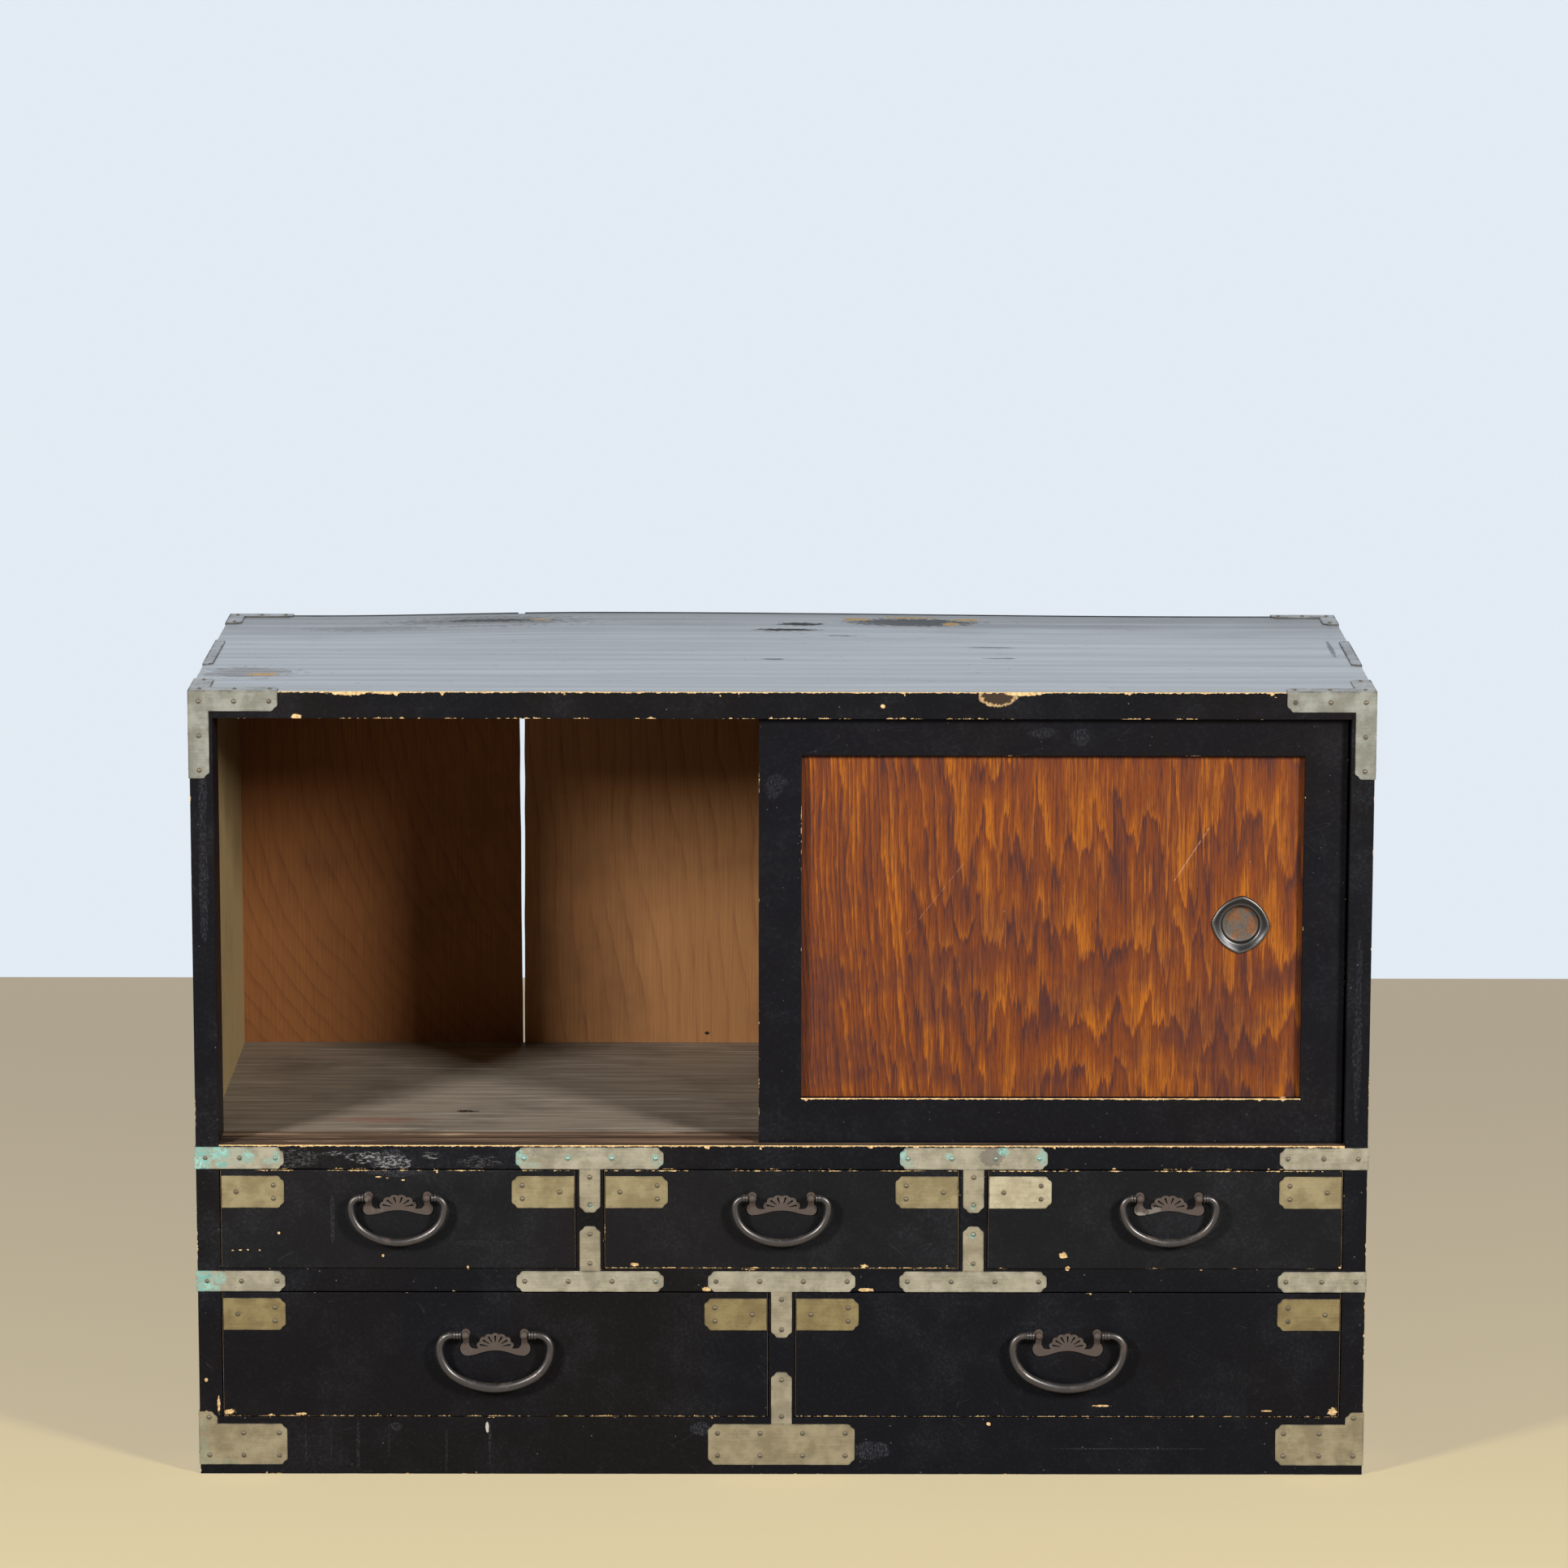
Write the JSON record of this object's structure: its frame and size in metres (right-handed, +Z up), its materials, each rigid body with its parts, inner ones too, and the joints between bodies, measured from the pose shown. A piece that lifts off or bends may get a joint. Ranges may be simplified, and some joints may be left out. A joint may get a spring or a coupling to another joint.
{
  "type": "clothing chest",
  "caption": "Low lacquered clothing chest with sliding panel doors above two rows of drawers, sheet metal corner mounts and iron bail handles.",
  "frame": {"origin": "centre of the whole object's footprint on the floor, handles and nail heads included", "axes": "+X to the right seen from the front, -Y out of the front, +Z up"},
  "size_m": [0.9126, 0.3936, 0.6228],
  "materials": {
    "black_lacquer": "worn black lacquer on softwood, satin",
    "bare_wood": "unfinished aged softwood",
    "figured_panel": "orange-brown varnished panel with flame figure",
    "nickel_silver": "dull aged nickel silver sheet",
    "pale_brass": "dull pale brass sheet",
    "nail_metal": "dull dome-headed nails",
    "dark_iron": "dark wrought iron with brown rust bloom"
  },
  "bodies": {
    "carcass": {"top_board": "black_lacquer", "left_side_board": "black_lacquer", "right_side_board": "black_lacquer", "front_posts": "black_lacquer", "bottom_board": "bare_wood", "base_rail": "black_lacquer", "back_boards": "bare_wood", "door_head": "black_lacquer", "door_sill": "black_lacquer", "cupboard_floor": "bare_wood", "drawer_rail": "black_lacquer", "dust_board": "bare_wood", "drawer_dividers": "black_lacquer", "drawer_guides": "bare_wood", "top_front_corners": "nickel_silver", "top_rear_corners": "nickel_silver", "side_edge_straps": "nickel_silver", "rail_end_straps": "nickel_silver", "crossbar_plates": "nickel_silver", "divider_plates": "nickel_silver", "base_plates": "nickel_silver", "carcass_nails": "nail_metal"},
    "front_door": {"front_door_stiles": "black_lacquer", "front_door_rails": "black_lacquer", "front_door_panel": "figured_panel", "front_door_pull": "dark_iron"},
    "rear_door": {"rear_door_stiles": "black_lacquer", "rear_door_rails": "black_lacquer", "rear_door_panel": "figured_panel", "rear_door_pull": "dark_iron"},
    "upper_left_drawer": {"upper_left_front": "black_lacquer", "upper_left_walls": "bare_wood", "upper_left_bottom": "bare_wood", "upper_left_corner_plates": "pale_brass", "upper_left_handle_plate": "dark_iron"},
    "upper_left_bail": {"upper_left_bail": "dark_iron"},
    "upper_middle_drawer": {"upper_middle_front": "black_lacquer", "upper_middle_walls": "bare_wood", "upper_middle_bottom": "bare_wood", "upper_middle_corner_plates": "pale_brass", "upper_middle_handle_plate": "dark_iron"},
    "upper_middle_bail": {"upper_middle_bail": "dark_iron"},
    "upper_right_drawer": {"upper_right_front": "black_lacquer", "upper_right_walls": "bare_wood", "upper_right_bottom": "bare_wood", "upper_right_corner_plates": "pale_brass", "upper_right_handle_plate": "dark_iron"},
    "upper_right_bail": {"upper_right_bail": "dark_iron"},
    "lower_left_drawer": {"lower_left_front": "black_lacquer", "lower_left_walls": "bare_wood", "lower_left_bottom": "bare_wood", "lower_left_corner_plates": "pale_brass", "lower_left_handle_plate": "dark_iron"},
    "lower_left_bail": {"lower_left_bail": "dark_iron"},
    "lower_right_drawer": {"lower_right_front": "black_lacquer", "lower_right_walls": "bare_wood", "lower_right_bottom": "bare_wood", "lower_right_corner_plates": "pale_brass", "lower_right_handle_plate": "dark_iron"},
    "lower_right_bail": {"lower_right_bail": "dark_iron"}
  },
  "joints": [
    {"name": "front_door_slide", "type": "slide", "parent": "carcass", "child": "front_door", "axis": [-1, 0, 0], "range_m": [0, 0.417]},
    {"name": "rear_door_slide", "type": "slide", "parent": "carcass", "child": "rear_door", "axis": [-1, 0, 0], "range_m": [0, 0.417]},
    {"name": "upper_left_drawer_slide", "type": "slide", "parent": "carcass", "child": "upper_left_drawer", "axis": [0, -1, 0], "range_m": [0, 0.3]},
    {"name": "upper_left_bail_swing", "type": "hinge", "parent": "upper_left_drawer", "child": "upper_left_bail", "pos_m": [-0.298, -0.19325, 0.2239], "axis": [-1, 0, 0], "range_deg": [-4, 165]},
    {"name": "upper_middle_drawer_slide", "type": "slide", "parent": "carcass", "child": "upper_middle_drawer", "axis": [0, -1, 0], "range_m": [0, 0.3]},
    {"name": "upper_middle_bail_swing", "type": "hinge", "parent": "upper_middle_drawer", "child": "upper_middle_bail", "pos_m": [0, -0.19325, 0.2239], "axis": [-1, 0, 0], "range_deg": [-4, 165]},
    {"name": "upper_right_drawer_slide", "type": "slide", "parent": "carcass", "child": "upper_right_drawer", "axis": [0, -1, 0], "range_m": [0, 0.3]},
    {"name": "upper_right_bail_swing", "type": "hinge", "parent": "upper_right_drawer", "child": "upper_right_bail", "pos_m": [0.301, -0.19325, 0.2239], "axis": [-1, 0, 0], "range_deg": [-4, 165]},
    {"name": "lower_left_drawer_slide", "type": "slide", "parent": "carcass", "child": "lower_left_drawer", "axis": [0, -1, 0], "range_m": [0, 0.3]},
    {"name": "lower_left_bail_swing", "type": "hinge", "parent": "lower_left_drawer", "child": "lower_left_bail", "pos_m": [-0.22325, -0.19325, 0.1139], "axis": [-1, 0, 0], "range_deg": [-4, 165]},
    {"name": "lower_right_drawer_slide", "type": "slide", "parent": "carcass", "child": "lower_right_drawer", "axis": [0, -1, 0], "range_m": [0, 0.3]},
    {"name": "lower_right_bail_swing", "type": "hinge", "parent": "lower_right_drawer", "child": "lower_right_bail", "pos_m": [0.22325, -0.19325, 0.1139], "axis": [-1, 0, 0], "range_deg": [-4, 165]}
  ]
}
